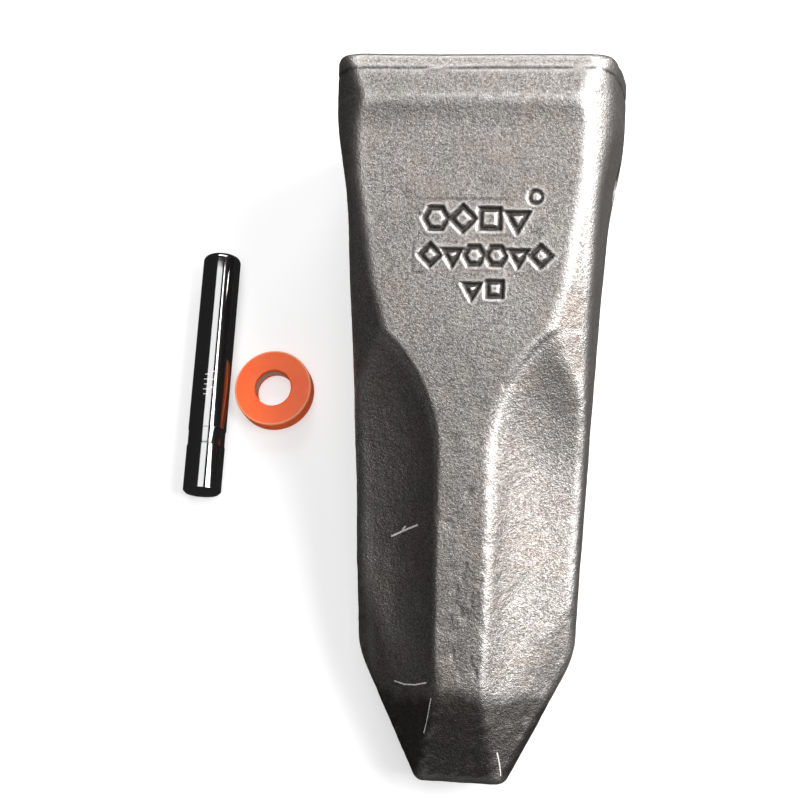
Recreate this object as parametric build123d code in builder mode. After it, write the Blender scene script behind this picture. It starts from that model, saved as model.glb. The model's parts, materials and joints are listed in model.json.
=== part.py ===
from build123d import *

import os
from math import atan2, cos, radians, sin, tan

# Excavator bucket tooth of the side-pinned, double-scooped rock type, with the
# retaining pin and the ring-shaped retainer that hold it on the adapter nose.
# The three loose parts lie on a bench: the bench top is Z = 0, +Y points to the
# tooth's open rear end and +X to the right of the tooth. All sizes in mm.

# --- Tooth, outside. u runs from the rear rim to the point, w sideways, v up ---
tooth_length = 350.0
collar_half_height = 73.0
collar_half_width = 70.0
collar_length = 25.0          # full-height band behind the rear rim
collar_step = 3.7             # drop from the band to the flank
flank_start = 30.5
rib_end = 305.0               # where the point bevel starts
rib_end_half_height = 27.0
point_half_height = 9.0
point_half_width = 22.0
shoulder_start = 34.0         # the collar's sides narrow from here to waist_start
waist_start = 67.0
waist_half_width = 64.6
middle = 190.0
middle_half_width = 57.9
taper_start = 287.0
taper_half_width = 54.4
side_draft = 5.0              # degrees, both ways from the parting line
rim_radius = 6.0
shoulder_radius = 60.0        # in plan, where the sides change direction
taper_radius = 10.0           # in plan, where the point begins
point_radius = 4.0            # in plan, at the blunt end
step_radius, rib_end_radius, point_edge_radius = 3.0, 4.0, 2.5
band_radius = 2.0
corner_bevel = 6.0
cutter_overlap = 10.0         # how far a cutter or blank runs past the solid

# --- Scoops beside the rib: (u, rib edge w, ridge w, ridge v) at each section ---
scoop_sections = (
    (128.0, 53.0, 62.0, 56.0),
    (142.0, 34.0, 55.0, 45.0),
    (158.0, 21.5, 52.0, 35.5),
    (184.0, 14.3, 49.5, 26.5),
    (225.0, 13.4, 48.0, 18.5),
    (265.0, 12.8, 46.0, 13.5),
    (rib_end, 12.0, 44.0, 10.5),
)
bevel_section = (tooth_length + 5.0, 20.5, 44.0, 4.5)
scoop_outer = 78.0            # the cutter runs out past the tooth's side
scoop_top = 80.0
scoop_run_up, scoop_rise = 3.0, 5.0   # the floor carries on past the rib's edge
scoop_outer_fall = 2.0        # and it falls this much from the ridge outward
scoop_foot = (0.34, 0.36)     # the foot of the rib, as parts of the way out and up
bevel_edge_drop = 1.0         # the rib's edge below the blunt end's top, past the end

# --- Nose pocket, the socket for the adapter ---
pocket_mouth_width, pocket_mouth_height = 104.0, 114.0
pocket_throat_width, pocket_throat_height = 80.0, 42.0
pocket_throat_depth = 130.0
pocket_depth = 165.0
pocket_radius = 10.0

# --- Pin, its bore through the collar's sides, and its retainer ---
pin_diameter = 20.6
pin_length = 136.0
pin_nose_radius = 3.5
pin_chamfer = 1.5
pin_groove_start = 26.0       # from the chamfered end
pin_groove_width = 9.0
pin_groove_depth = 0.6
pin_bore_diameter = 21.6
pin_bore_setback = 48.0       # from the rear rim
pin_bore_countersink = 12.5   # radius at the mouth
ring_outer_diameter = 42.5
ring_bore_diameter = 19.8
ring_thickness = 10.5
ring_edge_radius = 0.8
spring_height = 5.0
spring_radial = 1.6
spring_gap = 24.0             # degrees left open in the C

# --- Where the parts lie on the bench ---
rear_x, rear_y = 45.42, 167.56        # rear rim's centre; centres the kit's box on the origin
pin_end_x, pin_end_y = rear_x - 148.7, rear_y - 202.4
pin_turn = -0.8               # degrees clockwise from +Y
ring_x, ring_y = rear_x - 115.1, rear_y - 141.9
ring_turn = 200.0             # degrees, where the spring's gap points

# The tooth rests on the collar's lower edge and the rib's lower front corner.
lie_angle = atan2(collar_half_height - rib_end_half_height, rib_end - collar_length)
rear_height = collar_length * sin(lie_angle) + collar_half_height * cos(lie_angle)
flank_half_height = collar_half_height - collar_step
flank_slope = (flank_half_height - rib_end_half_height) / (rib_end - flank_start)

# Section plane at the rear rim: local X is w, local Y is v and the normal is u.
rear_plane = Plane(
    origin=(rear_x, rear_y, rear_height),
    x_dir=(1, 0, 0),
    z_dir=(0, -cos(lie_angle), -sin(lie_angle)),
)
# Plan plane: local X is w, local Y is u. Side plane: local X is u, local Y is v.
plan_plane = Plane(rear_plane.origin, x_dir=rear_plane.x_dir, z_dir=-rear_plane.y_dir)
side_plane = Plane(rear_plane.origin, x_dir=rear_plane.z_dir, z_dir=-rear_plane.x_dir)


def flank_height(u):
    """Half-height of the sloping flank at u."""
    return flank_half_height - flank_slope * (u - flank_start)


def scoop_face(u, rib_edge, ridge, ridge_height):
    """Cross-section of one scoop cutter: steep beside the rib, flat at the ridge."""
    if u > rib_end:
        edge_height = point_half_height - bevel_edge_drop
    else:
        edge_height = flank_height(u)
    foot_across, foot_up = scoop_foot
    foot = rib_edge + foot_across * (ridge - rib_edge)
    foot_height = ridge_height + foot_up * (edge_height - ridge_height)
    brow = (rib_edge - scoop_run_up, edge_height + scoop_rise)
    rim = (scoop_outer, ridge_height - scoop_outer_fall)
    with BuildSketch(rear_plane.offset(u)) as section:
        with BuildLine():
            Spline(brow, (foot, foot_height), (ridge, ridge_height), rim)
            Polyline(rim, (scoop_outer, scoop_top), (brow[0], scoop_top), brow)
        make_face()
    return section.sketch.face()


def corner_face(u, half_width, half_height):
    """Cross-section of the cutter that bevels a flank's long corner at 45 degrees."""
    corner = half_width - half_height * tan(radians(side_draft))
    low = half_height - corner_bevel - cutter_overlap
    high = half_height + cutter_overlap
    with BuildSketch(rear_plane.offset(u)) as section:
        with BuildLine():
            Polyline(
                (corner - corner_bevel - cutter_overlap, high),
                (corner + cutter_overlap, low),
                (corner + cutter_overlap, high),
                close=True,
            )
        make_face()
    return section.sketch.face()


# The pin bore's two mouths, facing outward.
bore_centre = rear_plane.offset(pin_bore_setback).origin
bore_mouths = [
    Plane(bore_centre + Vector(side * collar_half_width, 0, 0), z_dir=(side, 0, 0))
    for side in (-1, 1)
]

# Cutter for the scoop on the upper right; the other three are its mirror images.
hollow = [scoop_face(*section) for section in scoop_sections]
bevel = scoop_face(*bevel_section)
with BuildPart() as scoop:
    loft(hollow)
with BuildPart() as point_bevel:
    loft([hollow[-1], bevel], ruled=True)

corner_sections = (
    (-cutter_overlap, collar_half_width, collar_half_height),
    (collar_length, collar_half_width, collar_half_height),
    (shoulder_start, collar_half_width, flank_height(shoulder_start)),
    (waist_start, waist_half_width, flank_height(waist_start)),
    (middle, middle_half_width, flank_height(middle)),
    (taper_start, taper_half_width, flank_height(taper_start)),
)
with BuildPart() as long_corner:
    loft([corner_face(*section) for section in corner_sections], ruled=True)

with BuildPart() as tooth_body:
    # Plan outline, drafted up and down from the parting line at mid-height.
    with BuildSketch(plan_plane):
        with BuildLine():
            Line((0, -cutter_overlap), (collar_half_width, -cutter_overlap))
            FilletPolyline(
                (collar_half_width, -cutter_overlap),
                (collar_half_width, shoulder_start),
                (waist_half_width, waist_start),
                (middle_half_width, middle),
                (taper_half_width, taper_start),
                (point_half_width, tooth_length),
                (0, tooth_length),
                radius=[*[shoulder_radius] * 3, taper_radius, point_radius],
            )
            mirror(about=Plane.YZ)
        make_face()
    extrude(amount=collar_half_height, taper=side_draft, both=True)

    # Side profile: collar band, sloping flank, point bevel.
    with BuildSketch(side_plane):
        with BuildLine():
            Line((0, 0), (0, collar_half_height))
            FilletPolyline(
                (0, collar_half_height),
                (collar_length, collar_half_height),
                (flank_start, flank_half_height),
                (rib_end, rib_end_half_height),
                (tooth_length, point_half_height),
                (tooth_length, 0),
                radius=[band_radius, step_radius, rib_end_radius, point_edge_radius],
            )
            mirror(about=Plane.XZ)
        make_face()
    extrude(amount=collar_half_width + cutter_overlap, both=True, mode=Mode.INTERSECT)

    # Rounded rim all round the flat rear face.
    rear_face = tooth_body.faces().sort_by(Axis(rear_plane.origin, rear_plane.z_dir))[0]
    fillet(rear_face.edges(), radius=rim_radius)

    # The four long corners, the four scoops and the side facets of the point.
    for cutter in (long_corner.part, scoop.part, point_bevel.part):
        across = cutter.mirror(side_plane)
        for copy in (cutter, across, cutter.mirror(plan_plane), across.mirror(plan_plane)):
            add(copy, mode=Mode.SUBTRACT)

    # Nose pocket: it narrows to a throat, then runs parallel to its floor.
    with BuildSketch(rear_plane):
        RectangleRounded(pocket_mouth_width, pocket_mouth_height, pocket_radius)
    with BuildSketch(rear_plane.offset(pocket_throat_depth)):
        RectangleRounded(pocket_throat_width, pocket_throat_height, pocket_radius)
    loft(ruled=True, mode=Mode.SUBTRACT)
    with BuildSketch(rear_plane.offset(pocket_throat_depth)):
        RectangleRounded(pocket_throat_width, pocket_throat_height, pocket_radius)
    extrude(amount=pocket_depth - pocket_throat_depth, mode=Mode.SUBTRACT)

    # Pin bore through both side walls, countersunk outside.
    with Locations(*bore_mouths):
        CounterSinkHole(pin_bore_diameter / 2, pin_bore_countersink, collar_half_width)
tooth_body.part.label = "tooth_body"

# Pin, lying on the bench: domed at one end, chamfered and grooved at the other.
pin_radius = pin_diameter / 2
pin_heading = radians(pin_turn)
pin_plane = Plane(
    origin=(pin_end_x, pin_end_y, pin_radius),
    x_dir=(0, 0, 1),
    z_dir=(sin(pin_heading), cos(pin_heading), 0),
)
pin_axis = Axis(pin_plane.origin, pin_plane.z_dir)
with BuildPart() as retaining_pin:
    with BuildSketch(pin_plane):
        Circle(pin_radius)
    extrude(amount=pin_length)
    end_rims = retaining_pin.edges().filter_by(GeomType.CIRCLE).sort_by(pin_axis)
    fillet(end_rims[-1], radius=pin_nose_radius)
    chamfer(end_rims[0], length=pin_chamfer)
    with BuildSketch(pin_plane.offset(pin_groove_start)):
        Circle(pin_radius + cutter_overlap)
        Circle(pin_radius - pin_groove_depth, mode=Mode.SUBTRACT)
    extrude(amount=pin_groove_width, mode=Mode.SUBTRACT)
retaining_pin.part.label = "retaining_pin"

# Retainer: a rubbery ring with a split spring ring let into its bore.
ring_plane = Plane(origin=(ring_x, ring_y, 0))
ring_bore_radius = ring_bore_diameter / 2
spring_plane = ring_plane.offset((ring_thickness - spring_height) / 2)
with BuildPart() as retainer_ring:
    with BuildSketch(ring_plane):
        Circle(ring_outer_diameter / 2)
        Circle(ring_bore_radius, mode=Mode.SUBTRACT)
    extrude(amount=ring_thickness)
    fillet(retainer_ring.edges().filter_by(GeomType.CIRCLE), radius=ring_edge_radius)
    with BuildSketch(spring_plane):
        Circle(ring_bore_radius + spring_radial)
        Circle(ring_bore_radius / 2, mode=Mode.SUBTRACT)
    extrude(amount=spring_height, mode=Mode.SUBTRACT)
retainer_ring.part.label = "retainer_ring"

with BuildPart() as retainer_spring:
    with BuildSketch(spring_plane):
        with BuildLine():
            start = ring_turn + spring_gap / 2
            sweep_angle = 360 - spring_gap
            outer = CenterArc((0, 0), ring_bore_radius + spring_radial, start, sweep_angle)
            inner = CenterArc((0, 0), ring_bore_radius, start, sweep_angle)
            Line(outer @ 0, inner @ 0)
            Line(outer @ 1, inner @ 1)
        make_face()
    extrude(amount=spring_height)
retainer_spring.part.label = "retainer_spring"

os.makedirs("parts", exist_ok=True)
for piece in (tooth_body, retaining_pin, retainer_ring, retainer_spring):
    export_step(piece.part, f"parts/{piece.part.label}.step")
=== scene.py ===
import json
from math import cos, pi, radians, sin, tan

import bmesh
import bpy
import numpy as np
from mathutils import Matrix, Vector, noise


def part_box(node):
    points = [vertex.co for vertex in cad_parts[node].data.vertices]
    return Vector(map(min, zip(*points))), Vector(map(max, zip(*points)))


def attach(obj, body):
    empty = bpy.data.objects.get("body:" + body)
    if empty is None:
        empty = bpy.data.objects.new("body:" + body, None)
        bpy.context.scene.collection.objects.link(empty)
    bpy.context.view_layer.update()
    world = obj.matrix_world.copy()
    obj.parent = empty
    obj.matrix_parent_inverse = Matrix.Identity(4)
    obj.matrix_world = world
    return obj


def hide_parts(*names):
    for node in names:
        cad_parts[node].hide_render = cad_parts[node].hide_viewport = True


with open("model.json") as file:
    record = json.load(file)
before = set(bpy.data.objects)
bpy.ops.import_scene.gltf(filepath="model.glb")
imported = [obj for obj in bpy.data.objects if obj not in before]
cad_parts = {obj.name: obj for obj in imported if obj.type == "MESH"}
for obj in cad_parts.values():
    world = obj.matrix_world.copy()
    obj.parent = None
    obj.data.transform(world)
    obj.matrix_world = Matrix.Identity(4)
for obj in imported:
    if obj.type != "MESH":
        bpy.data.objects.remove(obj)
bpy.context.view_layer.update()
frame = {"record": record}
mounts = {mount["name"]: mount for mount in frame["record"]["mounts"]}
MM = 0.001

# ---------------------------------------------------------------------------
# Tooth: sizes in millimetres along its own axes. u runs from the rear rim to
# the point, w sideways and v up, from the middle of the rear rim.
# ---------------------------------------------------------------------------
LENGTH = 350.0
BAND_HALF_HEIGHT = 73.0
BAND_START, BAND_END = 9.0, 23.5
RIM_DROP = 4.0                # how much lower the band is at the rim than at its start
FLANK_START, FLANK_HALF_HEIGHT = 33.5, 69.2
RIB_END, RIB_END_HALF_HEIGHT = 305.0, 27.0
POINT_HALF_HEIGHT, POINT_HALF_WIDTH = 9.0, 22.0
COLLAR_HALF_WIDTH, SHOULDER = 71.6, 30.0
WAIST, WAIST_HALF_WIDTH = 67.0, 64.6
MIDDLE, MIDDLE_HALF_WIDTH = 190.0, 57.9
TAPER, TAPER_HALF_WIDTH = 287.0, 54.4
DRAFT = tan(radians(3.2))

# Widths over which neighbouring faces are rounded into each other. EDGE_ROUND is
# the radius where the outside meets the rim and the blunt end.
EDGE_ROUND = 3.0
MIDDLE_ROUND, SHOULDER_ROUND, TAPER_ROUND = 1.5, 2.0, 4.0
RIM_ROUND, STEP_FOOT_ROUND, STEP_TOP_ROUND, BEVEL_ROUND = 0.5, 1.2, 1.5, 1.2
FACET_ROUND = 1.6
CORNER_ROUND_AT = (0.0, 30.0, 60.0, 130.0, 160.0, LENGTH)
CORNER_ROUND = (12.0, 10.0, 5.5, 4.5, 5.0, 4.5)

# Scoops, between an inner edge at the rib and an outer ridge. The edge's and the
# ridge's w are given at SCOOP_START, at SCOOP_FULL and at RIB_END.
SCOOP_START, SCOOP_FULL = 127.0, 190.0
SCOOP_EDGE_OUTER, SCOOP_EDGE_FULL, SCOOP_EDGE_END = 57.0, 13.6, 12.0
RIDGE_OUTER, RIDGE_FULL, RIDGE_END = 61.0, 49.5, 44.0
SCOOP_RUN_IN = 6.0                        # length over which the scoop sinks into the flank
SCOOP_EDGE_CURVE = 1.7                    # power of the edge's rounded outline: 2 is an ellipse
RIDGE_FLOOR, RIDGE_DROP = 9.0, 46.0       # floor's height at the ridge, and what the start adds
RIDGE_DECAY = 58.0                        # length over which that addition dies away
SCOOP_LINEAR, SCOOP_POWER = 0.55, 3.0     # share of the floor's fall that is even, and the rest's power
SCOOP_TOP_END = RIB_END - 5.0             # the height that the floor falls from is level beyond
RIB_WALL_SLOPE = 1.6                      # least slope of the scoop's surface carried on above the rib
RIB_ROUND_AT, RIB_ROUND = (SCOOP_START, 160.0, 200.0, RIB_END), (9.0, 8.0, 5.0, 2.6)
LEFT_RIB_ROUND = 0.5                      # share of that rounding on the left side

# Facets along the long corners, raised beside the stamps.
FACET = (114.1, -0.669, -0.263)           # height: at the origin, per w, per u
FACET_TILT = 0.8                          # distance to the facet for each unit of height above it
FACET_LIFT_AT, FACET_LIFT = (20.0, 60.0, 110.0, 150.0), (0.0, 3.2, 3.2, 0.0)

POCKET_MOUTH = (52.0, 57.0)               # half width and half height
POCKET_THROAT = (40.0, 21.0)
POCKET_THROAT_DEPTH, POCKET_DEPTH = 130.0, 165.0
POCKET_RADIUS, POCKET_FLOOR_RADIUS, POCKET_LEAD_IN = 10.0, 6.0, 3.0

EAR_REACH, EAR_HALF_HEIGHT, EAR_FADE = 9.0, 56.0, 62.0
FAR_INSIDE = -50.0                        # stands in for the scoop where there is none


def smooth_max(a, b, width):
    """Larger of a and b, rounded off where they are within width of each other."""
    overlap = np.maximum(width - np.abs(a - b), 0.0) / width
    return np.maximum(a, b) + overlap * overlap * width * 0.25


def smooth_min(a, b, width):
    return -smooth_max(-a, -b, width)


def line(u, start, end):
    """Height at u of the straight line through two (u, height) points."""
    slope = (end[1] - start[1]) / (end[0] - start[0])
    return start[1] + slope * (u - start[0])


def band_mask(distance, width):
    """1 at distance 0, fading out over the width to either side."""
    return np.exp(-((distance / width) ** 2))


def end_inset(u):
    """How far the outside draws in near the rear rim and the blunt end."""
    near = np.minimum(u, LENGTH - u)
    depth = np.clip(EDGE_ROUND - near, 0.0, EDGE_ROUND)
    return EDGE_ROUND - np.sqrt(EDGE_ROUND**2 - depth**2)


def half_width(u):
    collar = np.full_like(u, COLLAR_HALF_WIDTH)
    shoulder = line(u, (SHOULDER, COLLAR_HALF_WIDTH), (WAIST, WAIST_HALF_WIDTH))
    waist = line(u, (WAIST, WAIST_HALF_WIDTH), (MIDDLE, MIDDLE_HALF_WIDTH))
    front = line(u, (MIDDLE, MIDDLE_HALF_WIDTH), (TAPER, TAPER_HALF_WIDTH))
    waist = smooth_max(waist, front, MIDDLE_ROUND)
    taper = line(u, (TAPER, TAPER_HALF_WIDTH), (LENGTH, POINT_HALF_WIDTH))
    sides = smooth_min(collar, smooth_max(shoulder, waist, SHOULDER_ROUND), SHOULDER_ROUND)
    return smooth_min(sides, taper, TAPER_ROUND) - end_inset(u)


def half_height(u):
    rim = line(u, (0.0, BAND_HALF_HEIGHT - RIM_DROP), (BAND_START, BAND_HALF_HEIGHT))
    band = smooth_min(rim, np.full_like(u, BAND_HALF_HEIGHT), RIM_ROUND)
    step = line(u, (BAND_END, BAND_HALF_HEIGHT), (FLANK_START, FLANK_HALF_HEIGHT))
    flank = line(u, (FLANK_START, FLANK_HALF_HEIGHT), (RIB_END, RIB_END_HALF_HEIGHT))
    bevel = line(u, (RIB_END, RIB_END_HALF_HEIGHT), (LENGTH, POINT_HALF_HEIGHT))
    top = smooth_min(band, smooth_max(step, flank, STEP_FOOT_ROUND), STEP_TOP_ROUND)
    return smooth_min(top, bevel, BEVEL_ROUND) - end_inset(u)


def scoop_edge(u):
    """Where the flank ends and the scoop begins: a rounded quarter, then the rib."""
    along = np.clip((SCOOP_FULL - u) / (SCOOP_FULL - SCOOP_START), 0.0, 1.0)
    reach = (1.0 - along**SCOOP_EDGE_CURVE) ** (1.0 / SCOOP_EDGE_CURVE)
    rounded = SCOOP_EDGE_OUTER - (SCOOP_EDGE_OUTER - SCOOP_EDGE_FULL) * reach
    rib = line(u, (SCOOP_FULL, SCOOP_EDGE_FULL), (RIB_END, SCOOP_EDGE_END))
    return np.where(u < SCOOP_FULL, rounded, rib)


def scoop_floor(u, w):
    """Height and sideways slope of the scoop's floor, steep at the rib and flat outside."""
    edge = scoop_edge(u)
    ridge = np.maximum(
        line(u, (SCOOP_START, RIDGE_OUTER), (SCOOP_FULL, RIDGE_FULL)),
        line(u, (SCOOP_FULL, RIDGE_FULL), (RIB_END, RIDGE_END)),
    )
    low = RIDGE_FLOOR + RIDGE_DROP * np.exp(-(u - SCOOP_START) / RIDGE_DECAY)
    high = half_height(np.minimum(u, SCOOP_TOP_END))
    across = (w - edge) / (ridge - edge)
    inside = np.clip(1.0 - across, 0.0, 1.0)
    drop = high - low
    shape = SCOOP_LINEAR * inside + (1.0 - SCOOP_LINEAR) * inside**SCOOP_POWER
    slope = SCOOP_LINEAR + (1.0 - SCOOP_LINEAR) * SCOOP_POWER * inside ** (SCOOP_POWER - 1.0)
    slope = slope * drop / (ridge - edge)
    beyond_rib = np.maximum(edge - w, 0.0) * np.maximum(slope, RIB_WALL_SLOPE)
    beyond_ridge = np.maximum(across - 1.0, 0.0) * SCOOP_LINEAR * drop
    return low + drop * shape + beyond_rib - beyond_ridge, slope


def scoop_distance(u, above, slope):
    """Distance to the scoop's floor, from the height above it, sunk in gradually at its start."""
    start = np.clip((u - SCOOP_START) / SCOOP_RUN_IN, 0.0, 1.0) - 1.0
    return above / np.sqrt(1.0 + slope * slope) + SCOOP_RUN_IN * start


def outside(u, w, v):
    """Negative inside the tooth's outer skin, for w and v of either sign."""
    crispness = np.where(w < 0.0, LEFT_RIB_ROUND, 1.0)
    w, v = np.abs(w), np.abs(v)
    side = w - (half_width(u) - v * DRAFT)
    top = v - half_height(u)
    floor, slope = scoop_floor(u, w)
    scoop = scoop_distance(u, v - floor + end_inset(u), slope)
    scoop = np.where(u < SCOOP_START, FAR_INSIDE, scoop)
    lift = np.interp(u, FACET_LIFT_AT, FACET_LIFT)
    facet = (v - FACET[0] - lift - FACET[1] * w - FACET[2] * u + end_inset(u)) * FACET_TILT
    skin = smooth_max(top, scoop, np.interp(u, RIB_ROUND_AT, RIB_ROUND) * crispness)
    skin = smooth_max(skin, facet, FACET_ROUND)
    return smooth_max(skin, side, np.interp(u, CORNER_ROUND_AT, CORNER_ROUND))


def pocket(u, w, v):
    """Negative inside the nose pocket: a rounded rectangle that narrows to the throat."""
    depth = np.clip(u / POCKET_THROAT_DEPTH, 0.0, 1.0)
    lead_in = np.clip(POCKET_LEAD_IN - u, 0.0, POCKET_LEAD_IN)
    near_floor = np.clip(u - (POCKET_DEPTH - POCKET_FLOOR_RADIUS), 0.0, POCKET_FLOOR_RADIUS)
    shrink = POCKET_FLOOR_RADIUS - np.sqrt(POCKET_FLOOR_RADIUS**2 - near_floor**2)
    wide = POCKET_MOUTH[0] + (POCKET_THROAT[0] - POCKET_MOUTH[0]) * depth + lead_in - shrink
    tall = POCKET_MOUTH[1] + (POCKET_THROAT[1] - POCKET_MOUTH[1]) * depth + lead_in - shrink
    over_w = np.abs(w) - (wide - POCKET_RADIUS)
    over_v = np.abs(v) - (tall - POCKET_RADIUS)
    corner = np.hypot(np.maximum(over_w, 0.0), np.maximum(over_v, 0.0))
    return corner + np.minimum(np.maximum(over_w, over_v), 0.0) - POCKET_RADIUS


# ---------------------------------------------------------------------------
# Grid of the tooth: rings of points along u, all at the same angles. Rings and
# angles are closer together at the stamps, and the rings at the two ends.
# ---------------------------------------------------------------------------
STAMP_START, STAMP_END, STAMP_SIDE = 64.0, 121.0, 36.0
COLLAR_STEP, STAMP_STEP, RIB_STEP, POINT_STEP = 1.35, 0.62, 1.7, 1.4
POINT_FINE = 290.0
TOP_COUNT, BOTTOM_COUNT = 226, 70
SPREAD_SECTIONS = ((90.0, 1.0), (200.0, 0.6), (270.0, 0.6))   # u and weight
SPREAD_STEPS, STAMP_WEIGHT = 600, 2.0
MAX_RADIUS, HALVINGS = 120.0, 26


def surface_radius(shape, u, angle):
    """Distance from the tooth's centreline to the shape's surface, by bisection."""
    low = np.zeros(np.broadcast(u, angle).shape)
    high = np.full_like(low, MAX_RADIUS)
    for _ in range(HALVINGS):
        middle = (low + high) / 2
        out = shape(u + 0.0 * low, middle * np.cos(angle), middle * np.sin(angle)) > 0
        high = np.where(out, middle, high)
        low = np.where(out, low, middle)
    return (low + high) / 2


def spread_angles(count, start, end):
    """Angles from start to end, closer together across the stamps and far from the middle."""
    fine = np.linspace(start, end, SPREAD_STEPS)
    length = np.zeros(fine.size - 1)
    for u, weight in SPREAD_SECTIONS:
        radius = surface_radius(outside, np.array(u), fine)
        w, v = radius * np.cos(fine), radius * np.sin(fine)
        step = np.hypot(np.diff(w), np.diff(v))
        stamped = (np.abs(w[1:]) < STAMP_SIDE) & (v[1:] > 0) & (STAMP_START < u < STAMP_END)
        length += weight * step * np.where(stamped, STAMP_WEIGHT, 1.0)
    along = np.concatenate(([0.0], np.cumsum(length)))
    wanted = np.linspace(0.0, along[-1], count, endpoint=False)
    return np.interp(wanted, along, fine)


def outer_stations():
    """u of each ring of the outer skin."""
    parts = (
        np.array([0.0, 0.2, 0.7, 1.5, 2.4]),
        np.arange(3.4, STAMP_START, COLLAR_STEP),
        np.arange(STAMP_START, STAMP_END, STAMP_STEP),
        np.arange(STAMP_END, POINT_FINE, RIB_STEP),
        np.arange(POINT_FINE, LENGTH - EDGE_ROUND, POINT_STEP),
        LENGTH - EDGE_ROUND + np.array([0.2, 1.2, 2.0, 2.6, 2.9, 3.0]),
    )
    return np.concatenate(parts)


def tooth_rings():
    """Grid of (u, w, v) points, from the pocket's floor out, round the rim and to the point."""
    angles = np.concatenate((
        spread_angles(TOP_COUNT, 0.0, pi),
        spread_angles(BOTTOM_COUNT, pi, 2 * pi),
    ))
    rings = []

    def add_ring(u, radius):
        w, v = radius * np.cos(angles), radius * np.sin(angles)
        rings.append(np.stack((np.full_like(angles, u), w, v), 1))

    floor_radius = surface_radius(pocket, np.array(POCKET_DEPTH), angles)
    for part in (0.02, 0.25, 0.5, 0.75):
        add_ring(POCKET_DEPTH, floor_radius * part)
    walls = POCKET_DEPTH - np.array([0.0, 0.4, 1.6, 3.4, 6.0])
    walls = np.concatenate((walls, np.arange(154.0, 4.0, -6.0), [POCKET_LEAD_IN, 1.5, 0.0]))
    for u in walls:
        add_ring(u, surface_radius(pocket, np.array(u), angles))
    mouth = surface_radius(pocket, np.array(0.0), angles)
    rim = surface_radius(outside, np.array(0.0), angles)
    for part in (0.04, 0.3, 0.6, 0.9):
        add_ring(0.0, mouth + (rim - mouth) * part)
    first_outer = len(rings)
    for u in outer_stations():
        add_ring(u, surface_radius(outside, np.array(u), angles))
    tip = surface_radius(outside, np.array(LENGTH), angles)
    for part in (0.85, 0.6, 0.35, 0.12, 0.01):
        add_ring(LENGTH, tip * part)
    return np.array(rings), first_outer


# ---------------------------------------------------------------------------
# Stamped marks on the flank: plain shapes in three rows, placed by w and u.
# ---------------------------------------------------------------------------
def polygon_distance(w, u, corners):
    """Signed distance to a closed polygon, negative inside."""
    corners = np.array(corners, float)
    nearest = np.full(w.shape, 1e9)
    inside = np.zeros(w.shape, bool)
    for a, b in zip(corners, np.roll(corners, -1, 0)):
        edge = b - a
        along = np.clip(((w - a[0]) * edge[0] + (u - a[1]) * edge[1]) / edge.dot(edge), 0.0, 1.0)
        nearest = np.minimum(nearest, np.hypot(w - a[0] - along * edge[0], u - a[1] - along * edge[1]))
        crosses = (a[1] > u) != (b[1] > u)
        at = a[0] + (u - a[1]) / (edge[1] if edge[1] else 1e-9) * edge[0]
        inside ^= crosses & (w < at)
    return np.where(inside, -nearest, nearest)


def regular(count, radius, turn=0.0):
    return [
        (radius * cos(turn + 2 * pi * k / count), radius * sin(turn + 2 * pi * k / count))
        for k in range(count)
    ]


STROKE = 1.05                 # half the width of a stamped line
HEX, DIAMOND = regular(6, 6.8), regular(4, 7.2)
SQUARE, WEDGE = regular(4, 7.8, pi / 4), regular(3, 7.6, pi / 2)
MARKS = (                     # u of the row, scale, w of its middle, spacing, shapes
    (80.0, 1.0, 3.0, 13.0, (HEX, DIAMOND, SQUARE, WEDGE)),
    (97.3, 0.86, 7.5, 10.6, (DIAMOND, WEDGE, HEX, HEX, WEDGE, DIAMOND)),
    (113.2, 0.8, 7.0, 11.0, (WEDGE, SQUARE)),
)
RING_MARK, RING_MARK_RADIUS, RING_MARK_STROKE = (31.0, 69.5), 2.9, 0.6
DIE_LINES = (
    ((-26.0, 71.0), (18.0, 71.0)),
    ((-27.5, 92.0), (-27.5, 106.0)),
    ((-27.5, 106.0), (-22.0, 106.0)),
)
STAMPED_REGION = (20.0, 48.0)     # least v, and greatest w to either side
UNSTAMPED = 9.0                   # distance given to points outside the region
STAMP_WALL = 0.9                  # width over which a stamped line's wall falls
LIP_OFFSET, LIP_WIDTH = 1.1, 0.7
DIE_LINE_WIDTH = 0.45


def segment_distance(w, u, start, end):
    """Distance to a straight line between two (w, u) points."""
    run = (end[0] - start[0], end[1] - start[1])
    along = ((w - start[0]) * run[0] + (u - start[1]) * run[1]) / (run[0] ** 2 + run[1] ** 2)
    along = np.clip(along, 0.0, 1.0)
    return np.hypot(w - start[0] - along * run[0], u - start[1] - along * run[1])


def stamp_distance(w, u):
    """Distance to the stamped lines, negative inside one."""
    from_ring = np.abs(np.hypot(w - RING_MARK[0], u - RING_MARK[1]) - RING_MARK_RADIUS)
    nearest = from_ring - RING_MARK_STROKE
    for row, scale, middle, spacing, shapes in MARKS:
        for k, shape in enumerate(shapes):
            across = middle + (k - (len(shapes) - 1) / 2) * spacing
            outline = polygon_distance((w - across) / scale, (u - row) / scale, shape) * scale
            nearest = np.minimum(nearest, np.abs(outline + STROKE) - STROKE)
    return nearest


def die_line_distance(w, u):
    """Distance to the fine lines that the stamp's frame left around the rows."""
    return np.minimum.reduce([segment_distance(w, u, start, end) for start, end in DIE_LINES])


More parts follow.
